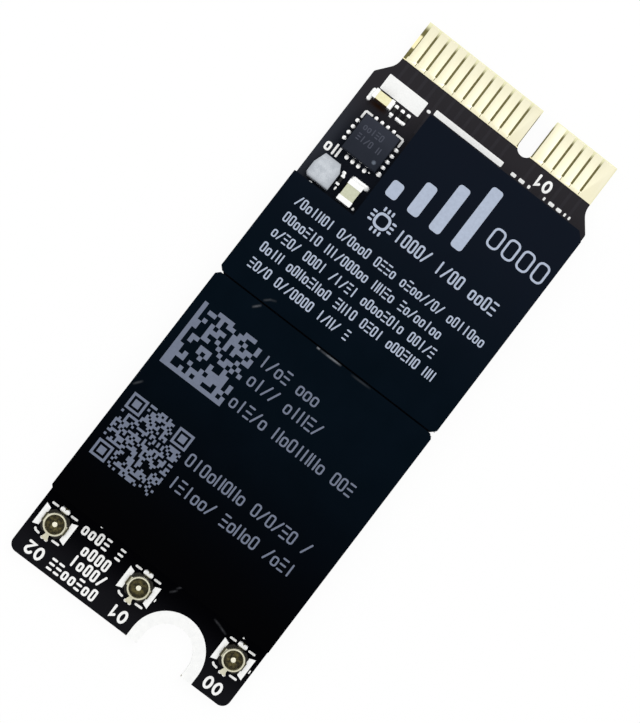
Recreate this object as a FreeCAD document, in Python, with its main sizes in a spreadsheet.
import FreeCAD, Part
import os
import Sketcher

# A plug-in wireless network card for a laptop, lying flat with its parts side up.
# Millimetres. X runs across the card, +Y points along it to the contact tongue, +Z is up,
# and the origin is the middle of the board's underside.

SIZES = {
    # circuit board
    "board_thickness": 0.8,
    "shoulder_distance": 52.5,
    "shoulder_width": 1.275,
    "shoulder_slant": 1.6,
    "shoulder_corner_radius": 0.4,
    "rear_corner_radius": 0.8,
    "tongue_length": 4.7,
    "tongue_left_margin": 0.25,
    "tongue_right_margin": 0.4,
    "tongue_root_radius": 1.6,
    "tip_bevel": 0.1,
    "key_slot_width": 1.55,
    "key_slot_depth": 4.3,
    "key_land": 0.125,
    "notch_radius": 2.35,
    "notch_pad_width": 1.1,
    "side_notch_depth": 0.45,
    "side_notch_width": 0.9,
    "notch_setback": 0.9,
    "notch_offset": 4.5,
    "plating_thickness": 0.05,
    # plated edge contacts
    "left_contacts": 12,
    "right_contacts": 6,
    "contact_pitch": 1.0,
    "contact_gap": 0.2,
    "contact_foot_gap": 0.05,
    "contact_foot_length": 0.42,
    "contact_length": 3.85,
    "contact_edge_margin": 0.06,
    # coaxial antenna sockets
    "socket_setback": 3.87,
    "socket_left_margin": 2.07,
    "socket_right_margin": 2.05,
    "socket_notch_spacing": 5.1,
    "socket_bore_radius": 0.82,
    "socket_waist_wall": 0.11,
    "socket_bead_step": 0.07,
    "socket_bead_length": 0.3,
    "socket_lead_in": 0.08,
    "socket_height": 1.25,
    "socket_base_height": 0.35,
    "socket_base_side_margin": 0.05,
    "socket_base_end_margin": 0.05,
    "socket_base_chamfer": 0.35,
    "socket_sheet": 0.12,
    "socket_leg_width": 0.8,
    "socket_foot_width": 2.0,
    "socket_foot_cut": 0.2,
    "socket_foot_reach": 0.45,
    "socket_tail_width": 0.4,
    "socket_tail_flare": 0.15,
    "pin_radius": 0.25,
    "pin_height": 1.0,
    "pin_tip_radius": 0.1,
    "pin_clearance": 0.02,
    "pin_lead_width": 0.5,
    # folded shield cans
    "can_height": 1.25,
    "can_wall": 0.15,
    "can_inner_bend": 0.15,
    "can_side_setback": 0.15,
    "can_rear_setback": 6.2,
    "can_front_setback": 1.9,
    "can_seam_distance": 29.25,
    "can_seam_gap": 0.4,
    "can_corner_cut": 0.7,
    "can_corner_relief": 0.25,
    "can_vent_pitch": 3.2,
    "can_vent_length": 1.2,
    "can_vent_height": 0.25,
    "window_width": 6.17,
    "window_length": 10.86,
    # label films
    "film_thickness": 0.1,
    "film_lap": 0.1,
    "film_seam_gap": 0.15,
    "film_left_overhang": 0.19,
    "film_right_setback": 0.1,
    "film_corner_cut": 0.35,
    # power control chip in the window
    "chip_size": 3.6,
    "chip_height": 0.85,
    "chip_left_margin": 1.75,
    "chip_wall_gap": 4.16,
    "chip_edge_chamfer": 0.08,
    "chip_mark_radius": 0.15,
    "chip_mark_inset": 0.6,
    "chip_mark_depth": 0.05,
    "chip_side_leads": 4,
    "lead_pitch": 0.625,
    "lead_width": 0.3,
    "lead_length": 0.4,
    "lead_thickness": 0.2,
    # power inductor in the window
    "inductor_width": 2.4,
    "inductor_length": 2.45,
    "inductor_height": 1.0,
    "inductor_left_margin": 0.65,
    "inductor_wall_gap": 0.46,
    "inductor_side_cut": 0.4,
    "inductor_left_slant": 1.15,
    "inductor_right_slant": 0.7,
    "inductor_rear_cut": 0.3,
    "inductor_edge_radius": 0.12,
    "inductor_clip_width": 1.5,
    "inductor_clip_sheet": 0.1,
    "inductor_clip_rise": 0.5,
    "inductor_clip_foot": 0.5,
    # chip capacitors and resistors: length, width and height over the end caps
    "cap_sheet": 0.04,
    "large_capacitor_length": 2.1,
    "large_capacitor_width": 1.42,
    "large_capacitor_height": 0.9,
    "large_capacitor_end": 0.48,
    "large_capacitor_left": 4.73,
    "large_capacitor_wall": 1.46,
    "small_capacitor_length": 1.95,
    "small_capacitor_width": 0.88,
    "small_capacitor_height": 0.8,
    "small_capacitor_end": 0.35,
    "small_capacitor_left": 2.1,
    "small_capacitor_wall": 9.62,
    "resistor_length": 1.0,
    "resistor_width": 0.36,
    "resistor_height": 0.35,
    "resistor_end": 0.22,
    "resistor_pitch": 0.64,
    "resistor_left": 3.43,
    "resistor_wall": 9.42,
    "sense_resistor_left": 3.4,
    "sense_resistor_wall": 1.9,
    # parts under the cans
    "package_edge_chamfer": 0.08,
    "package_mark_radius": 0.25,
    "package_mark_inset": 0.7,
    "package_mark_depth": 0.05,
    "processor_size": 9.0,
    "processor_height": 0.85,
    "processor_shift": -0.5,
    "processor_wall_gap": 9.5,
    "module_size": 4.0,
    "module_height": 0.8,
    "module_wall_gap": 2.9,
    "module_pitch": 7.4,
    "filter_width": 1.25,
    "filter_length": 2.0,
    "filter_height": 0.7,
    "filter_wall_gap": 0.45,
    "crystal_width": 2.0,
    "crystal_length": 2.5,
    "crystal_base_height": 0.35,
    "crystal_lid_height": 0.3,
    "crystal_lid_inset": 0.15,
    "crystal_gap": 2.5,
    "short_range_width": 6.5,
    "short_range_length": 5.6,
    "short_range_height": 0.75,
    "short_range_shift": 3.0,
    "short_range_wall_gap": 3.0,
    "memory_width": 3.0,
    "memory_length": 2.0,
    "memory_height": 0.6,
    "memory_gap": 2.2,
    "bypass_length": 1.0,
    "bypass_width": 0.5,
    "bypass_height": 0.5,
    "bypass_pitch": 1.4,
    "bypass_gap": 0.6,
}

PORTS = 3
BYPASS_PER_SIDE = 5

doc = FreeCAD.newDocument("wireless_card")
sheet = doc.addObject("Spreadsheet::Sheet", "Dims")
for row, (alias, number) in enumerate(SIZES.items(), 1):
    sheet.set(f"A{row}", alias)
    sheet.set(f"B{row}", str(number))
    sheet.setAlias(f"B{row}", alias)
doc.recompute()

# Places on the board that follow from the driving sizes, as expressions on the sheet.
KEY_GAP = "(Dims.key_slot_width + 2 * Dims.key_land)"
CONTACT_ROWS = "(Dims.left_contacts + Dims.right_contacts) * Dims.contact_pitch"
TONGUE_MARGINS = "(Dims.tongue_left_margin + Dims.tongue_right_margin)"
TONGUE_HALF = f"(({TONGUE_MARGINS} + {KEY_GAP} + {CONTACT_ROWS}) / 2)"
TONGUE_LEFT = f"(-{TONGUE_HALF})"
ROW_START = f"({TONGUE_LEFT} + Dims.tongue_left_margin)"
KEY_START = f"({ROW_START} + Dims.left_contacts * Dims.contact_pitch)"
KEY_CENTRE = f"({KEY_START} + {KEY_GAP} / 2)"
RIGHT = f"({TONGUE_HALF} + Dims.shoulder_width)"
LEFT = f"(-{RIGHT})"
TIP = "((Dims.shoulder_distance + Dims.tongue_length) / 2)"
REAR = f"(-{TIP})"
SHOULDER = f"({REAR} + Dims.shoulder_distance)"
BOARD_TOP = "Dims.board_thickness"
NOTCH_Y = f"({REAR} + Dims.notch_setback)"
CAN_LEFT = f"({LEFT} + Dims.can_side_setback)"
CAN_RIGHT = f"({RIGHT} - Dims.can_side_setback)"
SEAM = f"({REAR} + Dims.can_seam_distance)"
REAR_CAN_START = f"({REAR} + Dims.can_rear_setback)"
REAR_CAN_END = f"({SEAM} - Dims.can_seam_gap / 2)"
FRONT_CAN_START = f"({SEAM} + Dims.can_seam_gap / 2)"
FRONT_CAN_END = f"({SHOULDER} - Dims.can_front_setback)"
WINDOW_X = f"({LEFT} + Dims.window_width)"
WINDOW_Y = f"({FRONT_CAN_END} - Dims.window_length)"

subparts = []


def value(expression):
    """The number that an expression on the sheet gives."""
    return float(sheet.evalExpression(expression))


def new_body(label, whole=True):
    """An empty body, which is a sub-part by itself unless another feature finishes it."""
    body = doc.addObject("PartDesign::Body", label)
    body.Label = label
    if whole:
        subparts.append(body)
    return body


def place(thing, x="0", y="0", z="0"):
    """Ties a sub-part's place to expressions on the sheet."""
    for axis, expression in zip("xyz", (x, y, z)):
        thing.setExpression(f"Placement.Base.{axis}", expression)


def new_sketch(body, name, role="XY_Plane", lift="0"):
    """A sketch on one of the body's own planes, raised from it by lift."""
    sketch = body.newObject("Sketcher::SketchObject", f"{body.Label}_{name}")
    plane = next(item for item in body.Origin.OriginFeatures if item.Role == role)
    sketch.AttachmentSupport = (plane, [""])
    sketch.MapMode = "FlatFace"
    sketch.setExpression("AttachmentOffset.Base.z", lift)
    return sketch


def tie(sketch, kind, places, name, expression):
    """One named dimension of a sketch, bound to an expression."""
    index = sketch.addConstraint(Sketcher.Constraint(kind, *places, value(expression)))
    sketch.renameConstraint(index, name)
    sketch.setExpression(f"Constraints.{name}", expression)


def tie_point(sketch, line, end, x, y):
    """Ties one end of a line, or a circle's centre, to a place measured from the origin."""
    tie(sketch, "DistanceX", (-1, 1, line, end), f"across_{line}_{end}", x)
    tie(sketch, "DistanceY", (-1, 1, line, end), f"along_{line}_{end}", y)


def draw_polygon(sketch, corners):
    """A closed outline of straight lines through corners given as pairs of expressions."""
    points = [FreeCAD.Vector(value(x), value(y), 0) for x, y in corners]
    first = sketch.GeometryCount
    count = len(points)
    for index, point in enumerate(points):
        sketch.addGeometry(Part.LineSegment(point, points[(index + 1) % count]))
    for index in range(count):
        follower = first + (index + 1) % count
        sketch.addConstraint(Sketcher.Constraint("Coincident", first + index, 2, follower, 1))
    for index, (x, y) in enumerate(corners):
        tie_point(sketch, first + index, 1, x, y)


def draw_rectangle(sketch, left, low, right, high):
    """A rectangle between two corners."""
    draw_polygon(sketch, [(left, low), (right, low), (right, high), (left, high)])


def draw_circle(sketch, x, y, radius):
    """A circle with its centre and radius bound to expressions."""
    centre = FreeCAD.Vector(value(x), value(y), 0)
    circle = sketch.addGeometry(Part.Circle(centre, FreeCAD.Vector(0, 0, 1), value(radius)))
    tie_point(sketch, circle, 3, x, y)
    tie(sketch, "Radius", (circle,), f"radius_{circle}", radius)


def draw_round_slot(sketch, x, y, radius, mouth):
    """A slot with one round end at (x, y) and an open end at the height of mouth."""
    centre = FreeCAD.Vector(value(x), value(y), 0)
    reach = FreeCAD.Vector(value(radius), 0, 0)
    left = centre - reach
    right = centre + reach
    side = 1 if value(mouth) < centre.y else -1
    crown = centre + FreeCAD.Vector(0, side * reach.x, 0)
    mouth_left = FreeCAD.Vector(left.x, value(mouth), 0)
    mouth_right = FreeCAD.Vector(right.x, value(mouth), 0)
    arc = sketch.addGeometry(Part.Arc(left, crown, right))
    sides = [
        sketch.addGeometry(Part.LineSegment(mouth_left, left)),
        sketch.addGeometry(Part.LineSegment(right, mouth_right)),
    ]
    closing = sketch.addGeometry(Part.LineSegment(mouth_right, mouth_left))
    arc_left, arc_right = (2, 1) if side > 0 else (1, 2)
    sketch.addConstraint(Sketcher.Constraint("Tangent", sides[0], 2, arc, arc_left))
    sketch.addConstraint(Sketcher.Constraint("Tangent", sides[1], 1, arc, arc_right))
    sketch.addConstraint(Sketcher.Constraint("Coincident", sides[1], 2, closing, 1))
    sketch.addConstraint(Sketcher.Constraint("Coincident", closing, 2, sides[0], 1))
    sketch.addConstraint(Sketcher.Constraint("Vertical", sides[0]))
    sketch.addConstraint(Sketcher.Constraint("Horizontal", closing))
    tie_point(sketch, arc, 3, x, y)
    tie(sketch, "Radius", (arc,), "round_end", radius)
    tie(sketch, "DistanceY", (-1, 1, closing, 1), "mouth", mouth)


def pad(body, sketch, length, both_ways=False):
    """Material added on a sketch, upward from it or half to each side."""
    feature = body.newObject("PartDesign::Pad", f"{sketch.Name}_pad")
    feature.Profile = sketch
    feature.SideType = "Symmetric" if both_ways else "One side"
    feature.setExpression("Length", length)
    doc.recompute()
    return feature


def pocket(body, sketch, depth, upward=True):
    """Material cut away from a sketch, upward from it or downward."""
    feature = body.newObject("PartDesign::Pocket", f"{sketch.Name}_pocket")
    feature.Profile = sketch
    feature.Reversed = upward
    feature.setExpression("Length", depth)
    doc.recompute()
    return feature


def revolve(body, sketch):
    """A profile turned all the way round the sketch's upright axis."""
    feature = body.newObject("PartDesign::Revolution", f"{sketch.Name}_turned")
    feature.Profile = sketch
    feature.ReferenceAxis = (sketch, ["V_Axis"])
    feature.Angle = 360
    doc.recompute()
    return feature


def ease_edges(body, kind, test, amount):
    """A fillet or a chamfer on every edge of the body so far that passes the test."""
    base = body.Tip
    found = [f"Edge{number}" for number, edge in enumerate(base.Shape.Edges, 1) if test(edge)]
    feature = body.newObject(f"PartDesign::{kind}", f"{base.Name}_{kind.lower()}")
    feature.Base = (base, found)
    feature.setExpression("Radius" if kind == "Fillet" else "Size", amount)
    doc.recompute()
    return feature


def near(one, other):
    """True for two lengths that are the same to a tenth of a micrometre."""
    return abs(one - other) < 1e-4


def is_upright_at(edge, places):
    """True for a straight upright edge over one of the given (x, y) places."""
    start = edge.Vertexes[0].Point
    end = edge.Vertexes[-1].Point
    upright = near(start.x, end.x) and near(start.y, end.y) and not near(start.z, end.z)
    return upright and any(near(start.x, x) and near(start.y, y) for x, y in places)


def is_level_at(edge, height):
    """True for an edge that lies wholly at one height."""
    return all(near(vertex.Z, height) for vertex in edge.Vertexes)


def build_circuit_board():
    """The laminate: a plate with slanted shoulders, a contact tongue, a key slot and its notches."""
    body = new_body("circuit_board")
    plate = new_sketch(body, "plate")
    slant_start = f"({SHOULDER} - Dims.shoulder_slant)"
    draw_polygon(plate, [
        (LEFT, REAR), (RIGHT, REAR), (RIGHT, slant_start), (TONGUE_HALF, SHOULDER),
        (TONGUE_HALF, TIP), (TONGUE_LEFT, TIP), (TONGUE_LEFT, SHOULDER), (LEFT, slant_start),
    ])
    pad(body, plate, BOARD_TOP)

    corners = [(value(x), value(REAR)) for x in (LEFT, RIGHT)]
    ease_edges(body, "Fillet", lambda e: is_upright_at(e, corners), "Dims.rear_corner_radius")
    shoulders = [(value(x), value(slant_start)) for x in (LEFT, RIGHT)]
    ease_edges(body, "Fillet", lambda e: is_upright_at(e, shoulders), "Dims.shoulder_corner_radius")
    roots = [(value(x), value(SHOULDER)) for x in (TONGUE_LEFT, TONGUE_HALF)]
    ease_edges(body, "Fillet", lambda e: is_upright_at(e, roots), "Dims.tongue_root_radius")

    key = new_sketch(body, "key_slot")
    key_radius = "(Dims.key_slot_width / 2)"
    key_end = f"({TIP} - Dims.key_slot_depth + {key_radius})"
    draw_round_slot(key, KEY_CENTRE, key_end, key_radius, f"({TIP} + Dims.key_slot_width)")
    pocket(body, key, BOARD_TOP)
    notch = new_sketch(body, "screw_notch")
    mouth = f"({REAR} - Dims.notch_radius)"
    draw_round_slot(notch, "Dims.notch_offset", NOTCH_Y, "Dims.notch_radius", mouth)
    pocket(body, notch, BOARD_TOP)

    sides = new_sketch(body, "side_notches")
    low = f"({SEAM} - Dims.side_notch_width / 2)"
    high = f"({SEAM} + Dims.side_notch_width / 2)"
    draw_polygon(sides, [(LEFT, low), (f"({LEFT} + Dims.side_notch_depth)", SEAM), (LEFT, high)])
    draw_polygon(sides, [(RIGHT, high), (f"({RIGHT} - Dims.side_notch_depth)", SEAM), (RIGHT, low)])
    pocket(body, sides, BOARD_TOP)

    tip = value(TIP)
    thickness = value(BOARD_TOP)

    def is_tip_edge(edge):
        level = is_level_at(edge, 0) or is_level_at(edge, thickness)
        return level and all(near(vertex.Y, tip) for vertex in edge.Vertexes)

    ease_edges(body, "Chamfer", is_tip_edge, "Dims.tip_bevel")


def build_notch_pad():
    """The plated ground pad round the screw notch, open at the rear edge like the notch."""
    body = new_body("screw_notch_pad")
    outline = new_sketch(body, "outline")
    outer = "(Dims.notch_radius + Dims.notch_pad_width)"
    draw_round_slot(outline, "Dims.notch_offset", NOTCH_Y, outer, REAR)
    pad(body, outline, "Dims.plating_thickness")
    notch = new_sketch(body, "notch")
    mouth = f"({REAR} - Dims.notch_radius)"
    draw_round_slot(notch, "Dims.notch_offset", NOTCH_Y, "Dims.notch_radius", mouth)
    pocket(body, notch, "Dims.plating_thickness")
    place(body, z=BOARD_TOP)


def contact_side(margin):
    """One side of a contact: stepped towards the next contact, or straight along an edge of the tongue."""
    if margin:
        reach = f"(Dims.contact_pitch / 2 + {margin} - Dims.contact_edge_margin)"
        return [(reach, "0"), (reach, "Dims.contact_length")]
    blade = "((Dims.contact_pitch - Dims.contact_gap) / 2)"
    foot = "((Dims.contact_pitch - Dims.contact_foot_gap) / 2)"
    return [
        (foot, "0"),
        (foot, "Dims.contact_foot_length"),
        (blade, "Dims.contact_foot_length"),
        (blade, "Dims.contact_length"),
    ]


def build_contact(number, centre, left_margin, right_margin):
    """One plated edge contact: a blade with a wider foot, lying on the tongue."""
    body = new_body(f"contact_finger_{number:02d}")
    outline = new_sketch(body, "outline")
    left_side = [(f"(-{x})", y) for x, y in reversed(contact_side(left_margin))]
    draw_polygon(outline, contact_side(right_margin) + left_side)
    pad(body, outline, "Dims.plating_thickness")
    place(body, centre, f"({TIP} - Dims.tip_bevel - Dims.contact_length)", BOARD_TOP)


def build_contacts():
    """Two rows of contacts, one each side of the key slot, plated out to the slot and the right edge."""
    left = int(value("Dims.left_contacts"))
    right = int(value("Dims.right_contacts"))
    left_margins = {left + 1: "Dims.key_land"}
    right_margins = {left: "Dims.key_land", left + right: "Dims.tongue_right_margin"}
    for number in range(1, left + right + 1):
        step = f"{number - 0.5} * Dims.contact_pitch"
        centre = f"({ROW_START} + {step})" if number <= left else f"({ROW_START} + {step} + {KEY_GAP})"
        build_contact(number, centre, left_margins.get(number), right_margins.get(number))


SOCKET_WAIST = "(Dims.socket_bore_radius + Dims.socket_waist_wall)"
SOCKET_BEAD = f"({SOCKET_WAIST} + Dims.socket_bead_step)"
SOCKET_SIDE = f"({SOCKET_BEAD} + Dims.socket_base_side_margin)"
SOCKET_END = f"({SOCKET_BEAD} + Dims.socket_base_end_margin)"
SOCKET_FLOOR = "Dims.socket_base_height"


def draw_leg(sketch, start, wall):
    """A strip that leaves the ring at start, folds down past wall and ends in a foot."""
    shelf = f"({SOCKET_FLOOR} + Dims.socket_sheet)"
    outer = f"({wall} + Dims.socket_sheet)"
    toe = f"({outer} + Dims.socket_foot_reach)"
    draw_polygon(sketch, [
        (start, SOCKET_FLOOR), (wall, SOCKET_FLOOR), (wall, "0"), (toe, "0"),
        (toe, "Dims.socket_sheet"), (outer, "Dims.socket_sheet"), (outer, shelf), (start, shelf),
    ])


def build_socket_shell(label, x, y):
    """The outer contact, drawn from sheet: a waisted ring, two legs with wide feet, and a tail."""
    body = new_body(f"{label}_shell")
    ring = new_sketch(body, "ring", "XZ_Plane")
    shelf = f"({SOCKET_FLOOR} + Dims.socket_sheet)"
    crown = "(Dims.socket_height - Dims.socket_lead_in)"
    bead_low = f"({crown} - Dims.socket_bead_length)"
    draw_polygon(ring, [
        ("Dims.socket_bore_radius", SOCKET_FLOOR),
        (SOCKET_BEAD, SOCKET_FLOOR),
        (SOCKET_WAIST, f"(({SOCKET_FLOOR} + {bead_low}) / 2)"),
        (SOCKET_BEAD, bead_low),
        (SOCKET_BEAD, crown),
        (f"({SOCKET_BEAD} - Dims.socket_lead_in)", "Dims.socket_height"),
        ("(Dims.socket_bore_radius + Dims.socket_lead_in / 2)", "Dims.socket_height"),
        ("Dims.socket_bore_radius", crown),
    ])
    revolve(body, ring)
    ring_middle = "(Dims.socket_bore_radius + Dims.socket_waist_wall / 2)"
    leg = new_sketch(body, "leg", "XZ_Plane")
    draw_leg(leg, ring_middle, SOCKET_SIDE)
    first_leg = pad(body, leg, "Dims.socket_leg_width", both_ways=True)
    foot = new_sketch(body, "foot")
    foot_end = f"({SOCKET_SIDE} + Dims.socket_sheet + Dims.socket_foot_reach)"
    half_foot = "(Dims.socket_foot_width / 2)"
    half_heel = f"({half_foot} - Dims.socket_foot_cut)"
    draw_polygon(foot, [
        (SOCKET_SIDE, f"(-{half_heel})"), (foot_end, f"(-{half_foot})"),
        (foot_end, half_foot), (SOCKET_SIDE, half_heel),
    ])
    first_foot = pad(body, foot, "Dims.socket_sheet")
    legs = body.newObject("PartDesign::Mirrored", f"{label}_legs")
    legs.Originals = [first_leg, first_foot]
    side_plane = next(item for item in body.Origin.OriginFeatures if item.Role == "YZ_Plane")
    legs.MirrorPlane = (side_plane, [""])
    body.Tip = legs
    doc.recompute()
    tail = new_sketch(body, "tail", "YZ_Plane")
    shelf_start = f"(-{ring_middle})"
    wall = f"(-{SOCKET_END})"
    outer = f"({wall} - Dims.socket_sheet)"
    draw_polygon(tail, [
        (shelf_start, SOCKET_FLOOR), (shelf_start, shelf), (outer, shelf), (outer, "0"),
        (wall, "0"), (wall, SOCKET_FLOOR),
    ])
    pad(body, tail, "Dims.socket_tail_width", both_ways=True)
    toe = new_sketch(body, "tail_foot")
    narrow = "(Dims.socket_tail_width / 2)"
    wide = f"({narrow} + Dims.socket_tail_flare)"
    end = f"({outer} - Dims.socket_foot_reach)"
    draw_polygon(toe, [
        (f"(-{wide})", end), (wide, end), (narrow, outer), (narrow, wall),
        (f"(-{narrow})", wall), (f"(-{narrow})", outer),
    ])
    pad(body, toe, "Dims.socket_sheet")
    place(body, x, y, BOARD_TOP)


def build_socket_insulator(label, x, y):
    """The moulded base that the ring stands on, with a hole and a channel for the pin."""
    body = new_body(f"{label}_insulator")
    base = new_sketch(body, "base")
    draw_rectangle(base, f"(-{SOCKET_SIDE})", f"(-{SOCKET_END})", SOCKET_SIDE, SOCKET_END)
    pad(body, base, SOCKET_FLOOR)
    corners = [(sx * value(SOCKET_SIDE), sy * value(SOCKET_END)) for sx in (-1, 1) for sy in (-1, 1)]
    ease_edges(body, "Chamfer", lambda e: is_upright_at(e, corners), "Dims.socket_base_chamfer")
    hole = new_sketch(body, "pin_hole")
    draw_circle(hole, "0", "0", "(Dims.pin_radius + Dims.pin_clearance)")
    pocket(body, hole, SOCKET_FLOOR)
    channel = new_sketch(body, "lead_channel")
    side = "(Dims.pin_lead_width / 2 + Dims.pin_clearance)"
    draw_rectangle(channel, f"(-{side})", "0", side, f"({SOCKET_END} + Dims.pin_clearance)")
    pocket(body, channel, "(Dims.socket_sheet + Dims.pin_clearance)")
    place(body, x, y, BOARD_TOP)


def build_socket_pin(label, x, y):
    """The centre contact: a round pin with an eased tip, and its lead out to the signal pad."""
    body = new_body(f"{label}_pin")
    profile = new_sketch(body, "profile", "XZ_Plane")
    draw_rectangle(profile, "0", "0", "Dims.pin_radius", "Dims.pin_height")
    revolve(body, profile)
    top = value("Dims.pin_height")
    ease_edges(body, "Fillet", lambda e: is_level_at(e, top), "Dims.pin_tip_radius")
    lead = new_sketch(body, "lead")
    side = "(Dims.pin_lead_width / 2)"
    toe = f"({SOCKET_END} + Dims.socket_sheet + Dims.socket_foot_reach)"
    draw_rectangle(lead, f"(-{side})", "0", side, toe)
    pad(body, lead, "Dims.socket_sheet")
    place(body, x, y, BOARD_TOP)


def port_place(index):
    """Where an antenna socket stands: by the left edge, beside the notch or by the right edge."""
    across = (
        f"({LEFT} + Dims.socket_left_margin)",
        "(Dims.notch_offset - Dims.socket_notch_spacing)",
        f"({RIGHT} - Dims.socket_right_margin)",
    )
    return across[index], f"({REAR} + Dims.socket_setback)"


def build_sockets():
    """The three antenna sockets in a row across the rear of the card."""
    for index in range(PORTS):
        label = f"antenna_socket_{index + 1}"
        x, y = port_place(index)
        build_socket_shell(label, x, y)
        build_socket_insulator(label, x, y)
        build_socket_pin(label, x, y)


def rear_outline():
    """The rear can's outline seen from above."""
    return [
        (CAN_LEFT, REAR_CAN_START),
        (CAN_RIGHT, REAR_CAN_START),
        (CAN_RIGHT, REAR_CAN_END),
        (CAN_LEFT, REAR_CAN_END),
    ]


def front_outline():
    """The front can's outline: an L round the parts window, with one corner cut."""
    return [
        (CAN_LEFT, FRONT_CAN_START),
        (CAN_RIGHT, FRONT_CAN_START),
        (CAN_RIGHT, f"({FRONT_CAN_END} - Dims.can_corner_cut)"),
        (f"({CAN_RIGHT} - Dims.can_corner_cut)", FRONT_CAN_END),
        (WINDOW_X, FRONT_CAN_END),
        (WINDOW_X, WINDOW_Y),
        (CAN_LEFT, WINDOW_Y),
    ]


def build_can(label, outline, slit_corners, low, high):
    """A can folded from thin sheet: a roof with bent edges, walls with vents, slit corners."""
    body = new_body(label)
    block = new_sketch(body, "outline")
    draw_polygon(block, outline)
    base = pad(body, block, "Dims.can_height")
    open_face = next(
        f"Face{number}"
        for number, face in enumerate(base.Shape.Faces, 1)
        if near(face.BoundBox.ZMax, 0)
    )
    shell = body.newObject("PartDesign::Thickness", f"{label}_shell")
    shell.Base = (base, [open_face])
    shell.setExpression("Value", "Dims.can_wall")
    shell.Reversed = True
    shell.Mode = "Skin"
    shell.Join = "Intersection"
    doc.recompute()
    top = value("Dims.can_height")
    ceiling = value("Dims.can_height - Dims.can_wall")
    outer_bend = "(Dims.can_inner_bend + Dims.can_wall)"
    ease_edges(body, "Fillet", lambda e: is_level_at(e, top), outer_bend)
    ease_edges(body, "Fillet", lambda e: is_level_at(e, ceiling), "Dims.can_inner_bend")

    slits = new_sketch(body, "corner_slits")
    relief = "(Dims.can_corner_relief / 2)"
    for x, y in slit_corners:
        low_corner = (f"({x} - {relief})", f"({y} - {relief})")
        high_corner = (f"({x} + {relief})", f"({y} + {relief})")
        draw_rectangle(slits, *low_corner, *high_corner)
    pocket(body, slits, f"(Dims.can_height - {outer_bend})")

    vents = new_sketch(body, "wall_vents")
    length = value(f"{high} - {low}")
    count = int(length / value("Dims.can_vent_pitch"))
    half = "(Dims.can_vent_length / 2)"
    for index in range(count):
        middle = f"(({low} + {high}) / 2 + {index - (count - 1) / 2} * Dims.can_vent_pitch)"
        draw_rectangle(vents, LEFT, f"({middle} - {half})", RIGHT, f"({middle} + {half})")
    pocket(body, vents, "Dims.can_vent_height")
    place(body, z=BOARD_TOP)


def build_cans():
    """The rear can over the radio and the front can beside the parts window."""
    rear = rear_outline()
    build_can("rear_shield_can", rear, rear, REAR_CAN_START, REAR_CAN_END)
    front = front_outline()
    square_corners = [front[0], front[1], front[4], front[6]]
    build_can("front_shield_can", front, square_corners, FRONT_CAN_START, WINDOW_Y)


def build_films():
    """The two label films on the can roofs, cut a little larger than the cans."""
    left = f"({LEFT} - Dims.film_left_overhang)"
    right = f"({RIGHT} - Dims.film_right_setback)"
    seam_low = f"({SEAM} - Dims.film_seam_gap / 2)"
    seam_high = f"({SEAM} + Dims.film_seam_gap / 2)"
    rear = f"({REAR_CAN_START} - Dims.film_lap)"
    front = f"({FRONT_CAN_END} + Dims.film_lap)"
    inner_x = f"({WINDOW_X} - Dims.film_lap)"
    inner_y = f"({WINDOW_Y} + Dims.film_lap)"
    cut = "Dims.film_corner_cut"
    big_cut = "Dims.can_corner_cut"
    outlines = {
        "rear_label_film": [
            (left, f"({rear} + {cut})"), (f"({left} + {cut})", rear), (right, rear),
            (right, f"({seam_low} - {cut})"), (f"({right} - {cut})", seam_low),
            (f"({left} + {cut})", seam_low), (left, f"({seam_low} - {cut})"),
        ],
        "front_label_film": [
            (left, f"({seam_high} + {cut})"), (f"({left} + {cut})", seam_high),
            (f"({right} - {cut})", seam_high), (right, f"({seam_high} + {cut})"),
            (right, f"({front} - {big_cut})"), (f"({right} - {big_cut})", front),
            (inner_x, front), (inner_x, inner_y), (left, inner_y),
        ],
    }
    for label, outline in outlines.items():
        body = new_body(label)
        sketch = new_sketch(body, "outline")
        draw_polygon(sketch, outline)
        pad(body, sketch, "Dims.film_thickness")
        place(body, z=f"({BOARD_TOP} + Dims.can_height)")


def new_box(name, low, high):
    """A plain block between two corners given as expressions."""
    block = doc.addObject("Part::Box", name)
    for size_name, start, end in zip(("Length", "Width", "Height"), low, high):
        block.setExpression(size_name, f"({end} - {start})")
    place(block, *low)
    return block


def cut_from(label, base, tool):
    """A sub-part left when one solid is taken away from another."""
    cut = doc.addObject("Part::Cut", label)
    cut.Label = label
    cut.Base = base
    cut.Tool = tool
    subparts.append(cut)
    return cut


def group_of(label, members):
    """A sub-part made of several separate solids."""
    group = doc.addObject("Part::Compound", label)
    group.Label = label
    group.Links = members
    subparts.append(group)
    return group


def chip_leads(x, y):
    """The control chip's lead feet, four sides alike, flush with its faces."""
    half = "(Dims.chip_size / 2)"
    inner = f"({half} - Dims.lead_length)"
    side = "(Dims.lead_width / 2)"
    top = f"({BOARD_TOP} + Dims.lead_thickness)"
    count = int(value("Dims.chip_side_leads"))
    feet = []
    for index in range(count):
        step = f"({index - (count - 1) / 2} * Dims.lead_pitch)"
        along = (f"({step} - {side})", f"({step} + {side})")
        for name, out in (("high", (inner, half)), ("low", (f"(-{half})", f"(-{inner})"))):
            for turn, (across, lengthwise) in enumerate(((along, out), (out, along))):
                low = (f"({x} + {across[0]})", f"({y} + {lengthwise[0]})", BOARD_TOP)
                high = (f"({x} + {across[1]})", f"({y} + {lengthwise[1]})", top)
                feet.append(new_box(f"lead_{name}_{turn}_{index}", low, high))
    return feet


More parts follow.
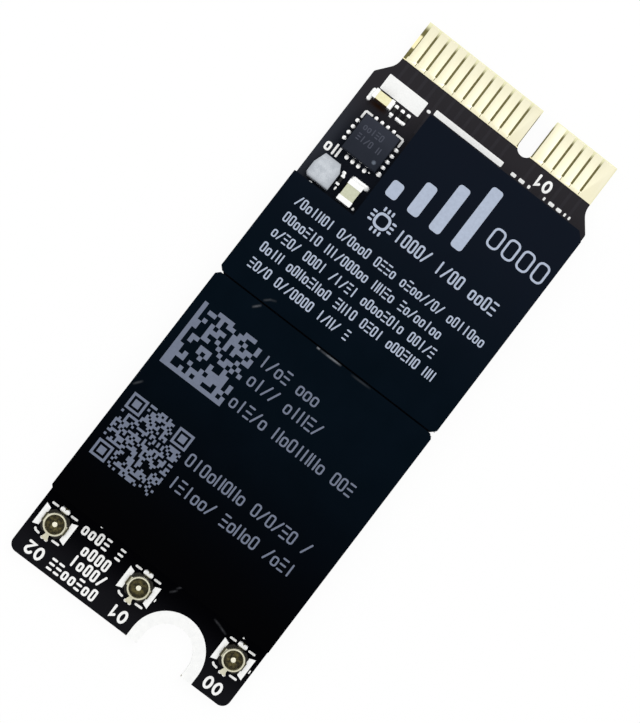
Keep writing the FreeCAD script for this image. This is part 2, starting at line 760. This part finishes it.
def build_control_chip():
    """A leadless moulded chip: lead feet set into the underside, a dimple by lead one."""
    x = f"({LEFT} + Dims.chip_left_margin + Dims.chip_size / 2)"
    y = f"({WINDOW_Y} + Dims.chip_wall_gap + Dims.chip_size / 2)"
    leads = group_of("control_chip_leads", chip_leads(x, y))
    mould = build_package(
        "control_chip_mould", x, y,
        "Dims.chip_size", "Dims.chip_size", "Dims.chip_height", style="chip", whole=False,
    )
    cut_from("control_chip_body", mould, leads)


def build_package(label, x, y, width, length, height, style="package", whole=True):
    """A moulded package with eased top edges and a shallow round mark in one corner."""
    body = new_body(label, whole)
    outline = new_sketch(body, "outline")
    half_width = f"({width} / 2)"
    half_length = f"({length} / 2)"
    draw_rectangle(outline, f"(-{half_width})", f"(-{half_length})", half_width, half_length)
    pad(body, outline, height)
    top = value(height)
    ease_edges(body, "Chamfer", lambda e: is_level_at(e, top), f"Dims.{style}_edge_chamfer")
    mark = new_sketch(body, "mark", lift=height)
    inset = f"Dims.{style}_mark_inset"
    mark_x = f"({half_width} - {inset})"
    mark_y = f"({inset} - {half_length})"
    draw_circle(mark, mark_x, mark_y, f"Dims.{style}_mark_radius")
    pocket(body, mark, f"Dims.{style}_mark_depth", upward=False)
    place(body, x, y, BOARD_TOP)
    return body


def build_inductor():
    """A moulded power inductor with slanted front corners, and a clip folded under each end."""
    x = f"({LEFT} + Dims.inductor_left_margin + Dims.inductor_width / 2)"
    y = f"({WINDOW_Y} + Dims.inductor_wall_gap + Dims.inductor_length / 2)"
    half_width = "(Dims.inductor_width / 2)"
    half_length = "(Dims.inductor_length / 2)"
    mould = new_body("power_inductor_mould", whole=False)
    outline = new_sketch(mould, "outline")
    left = f"(-{half_width})"
    rear = f"(-{half_length})"
    draw_polygon(outline, [
        (f"({left} + Dims.inductor_rear_cut)", rear),
        (half_width, rear),
        (half_width, f"({half_length} - Dims.inductor_right_slant)"),
        (f"({half_width} - Dims.inductor_side_cut)", half_length),
        (f"({left} + Dims.inductor_side_cut)", half_length),
        (left, f"({half_length} - Dims.inductor_left_slant)"),
        (left, f"({rear} + Dims.inductor_rear_cut)"),
    ])
    pad(mould, outline, "Dims.inductor_height")
    top = value("Dims.inductor_height")
    ease_edges(mould, "Fillet", lambda e: is_level_at(e, top), "Dims.inductor_edge_radius")
    place(mould, x, y, BOARD_TOP)

    clip_half = "(Dims.inductor_clip_width / 2)"
    sheet_top = f"({BOARD_TOP} + Dims.inductor_clip_sheet)"
    rise_top = f"({BOARD_TOP} + Dims.inductor_clip_rise)"
    clips = []
    for name, side in (("front", 1), ("rear", -1)):
        outer = f"({side} * {half_length})"
        face = f"({side} * ({half_length} - Dims.inductor_clip_sheet))"
        toe = f"({side} * ({half_length} - Dims.inductor_clip_foot))"
        foot_span = (toe, outer) if side > 0 else (outer, toe)
        wall_span = (face, outer) if side > 0 else (outer, face)
        pieces = []
        for piece, span, height in (("foot", foot_span, sheet_top), ("wall", wall_span, rise_top)):
            low = (f"({x} - {clip_half})", f"({y} + {span[0]})", BOARD_TOP)
            high = (f"({x} + {clip_half})", f"({y} + {span[1]})", height)
            pieces.append(new_box(f"inductor_{name}_{piece}", low, high))
        clip = doc.addObject("Part::Fuse", f"inductor_{name}_clip")
        clip.Base, clip.Tool = pieces
        clips.append(clip)
    clip_group = group_of("power_inductor_clips", clips)
    cut_from("power_inductor_body", mould, clip_group)


def build_chip_part(label, style, x, y, lengthwise):
    """A ceramic block with a metal cup on each end, lying along X or, lengthwise, along Y."""
    half = {name: f"(Dims.{style}_{name} / 2)" for name in ("length", "width")}
    end = f"({half['length']} - Dims.{style}_end)"
    reach = ("width", "length") if lengthwise else ("length", "width")
    top = f"({BOARD_TOP} + Dims.{style}_height)"

    def block(name, x_half, y_half, low_z, high_z):
        low = (f"({x} - {x_half})", f"({y} - {y_half})", low_z)
        high = (f"({x} + {x_half})", f"({y} + {y_half})", high_z)
        return new_box(f"{label}_{name}", low, high)

    def core(name):
        inner = [f"({half[axis]} - Dims.cap_sheet)" for axis in reach]
        return block(name, *inner, f"({BOARD_TOP} + Dims.cap_sheet)", f"({top} - Dims.cap_sheet)")

    ceramic = core("body")
    ceramic.Label = f"{label}_body"
    subparts.append(ceramic)
    whole = block("plated_block", half[reach[0]], half[reach[1]], BOARD_TOP, top)
    band_reach = [half["width"], end] if lengthwise else [end, half["width"]]
    band = block("bare_band", *band_reach, BOARD_TOP, top)
    hollow = doc.addObject("Part::Fuse", f"{label}_hollow")
    hollow.Base = core("core")
    hollow.Tool = band
    cut_from(f"{label}_ends", whole, hollow)


def build_small_parts():
    """The capacitors and resistors that stand in the window."""
    def spot(style):
        return f"({LEFT} + Dims.{style}_left)", f"({WINDOW_Y} + Dims.{style}_wall)"

    build_chip_part("large_capacitor", "large_capacitor", *spot("large_capacitor"), lengthwise=True)
    build_chip_part("small_capacitor", "small_capacitor", *spot("small_capacitor"), lengthwise=False)
    first_x, row_y = spot("resistor")
    for index in range(3):
        x = f"({first_x} + {index} * Dims.resistor_pitch)"
        build_chip_part(f"chip_resistor_{index + 1}", "resistor", x, row_y, lengthwise=True)
    build_chip_part("chip_resistor_4", "resistor", *spot("sense_resistor"), lengthwise=True)


def build_hidden_parts():
    """What stands under the cans: radio, antenna front ends, filters, crystal and memory."""
    wall = f"({REAR_CAN_START} + Dims.can_wall)"
    processor_y = f"({wall} + Dims.processor_wall_gap + Dims.processor_size / 2)"
    build_package(
        "radio_processor", "Dims.processor_shift", processor_y,
        "Dims.processor_size", "Dims.processor_size", "Dims.processor_height",
    )
    for index in range(PORTS):
        x = f"({index - (PORTS - 1) / 2} * Dims.module_pitch)"
        module_y = f"({wall} + Dims.module_wall_gap + Dims.module_size / 2)"
        build_package(
            f"front_end_module_{index + 1}", x, module_y,
            "Dims.module_size", "Dims.module_size", "Dims.module_height",
        )
        ceramic = new_body(f"antenna_filter_{index + 1}")
        outline = new_sketch(ceramic, "outline")
        half_width = "(Dims.filter_length / 2)"
        half_length = "(Dims.filter_width / 2)"
        draw_rectangle(outline, f"(-{half_width})", f"(-{half_length})", half_width, half_length)
        pad(ceramic, outline, "Dims.filter_height")
        place(ceramic, x, f"({wall} + Dims.filter_wall_gap + {half_length})", BOARD_TOP)

    processor_side = "(Dims.processor_shift + Dims.processor_size / 2)"
    crystal_x = f"({processor_side} + Dims.crystal_gap + Dims.crystal_width / 2)"
    crystal = new_body("reference_crystal")
    half_width = "(Dims.crystal_width / 2)"
    half_length = "(Dims.crystal_length / 2)"
    tray = new_sketch(crystal, "tray")
    draw_rectangle(tray, f"(-{half_width})", f"(-{half_length})", half_width, half_length)
    pad(crystal, tray, "Dims.crystal_base_height")
    lid = new_sketch(crystal, "lid", lift="Dims.crystal_base_height")
    lid_width = f"({half_width} - Dims.crystal_lid_inset)"
    lid_length = f"({half_length} - Dims.crystal_lid_inset)"
    draw_rectangle(lid, f"(-{lid_width})", f"(-{lid_length})", lid_width, lid_length)
    pad(crystal, lid, "Dims.crystal_lid_height")
    place(crystal, crystal_x, processor_y, BOARD_TOP)

    front_wall = f"({FRONT_CAN_START} + Dims.can_wall)"
    short_range_y = f"({front_wall} + Dims.short_range_wall_gap + Dims.short_range_length / 2)"
    build_package(
        "short_range_radio", "Dims.short_range_shift", short_range_y,
        "Dims.short_range_width", "Dims.short_range_length", "Dims.short_range_height",
    )
    radio_side = "(Dims.short_range_shift - Dims.short_range_width / 2)"
    memory_x = f"({radio_side} - Dims.memory_gap - Dims.memory_width / 2)"
    build_package(
        "memory_chip", memory_x, short_range_y,
        "Dims.memory_width", "Dims.memory_length", "Dims.memory_height",
    )

    bypass = []
    offset = "(Dims.processor_size / 2 + Dims.bypass_gap)"
    for side, name in ((-1, "low"), (1, "high")):
        for index in range(BYPASS_PER_SIDE):
            x = f"(Dims.processor_shift + {index - (BYPASS_PER_SIDE - 1) / 2} * Dims.bypass_pitch)"
            y = f"({processor_y} + {side} * ({offset} + Dims.bypass_width / 2))"
            low = (f"({x} - Dims.bypass_length / 2)", f"({y} - Dims.bypass_width / 2)", BOARD_TOP)
            high = (
                f"({x} + Dims.bypass_length / 2)",
                f"({y} + Dims.bypass_width / 2)",
                f"({BOARD_TOP} + Dims.bypass_height)",
            )
            bypass.append(new_box(f"bypass_{name}_{index}", low, high))
    group_of("bypass_capacitors", bypass)


def check_model():
    """Stops if anything failed to build, or if a cut took nothing away."""
    for thing in doc.Objects:
        if {"Invalid", "Error"} & set(thing.State):
            raise RuntimeError(f"{thing.Label} failed: {thing.State}")
        if thing.TypeId == "PartDesign::Pocket":
            if thing.Shape.Volume >= thing.BaseFeature.Shape.Volume:
                raise RuntimeError(f"{thing.Label} cuts nothing")
    for part in subparts:
        if part.Shape.isNull() or not part.Shape.isValid():
            raise RuntimeError(f"{part.Label} has no sound shape")


build_circuit_board()
build_notch_pad()
build_contacts()
build_sockets()
build_cans()
build_films()
build_control_chip()
build_inductor()
build_small_parts()
build_hidden_parts()
doc.recompute()
check_model()

os.makedirs("parts", exist_ok=True)
for part in subparts:
    part.Shape.exportStep(f"parts/{part.Label}.step")
print(len(subparts), "sub-parts written")
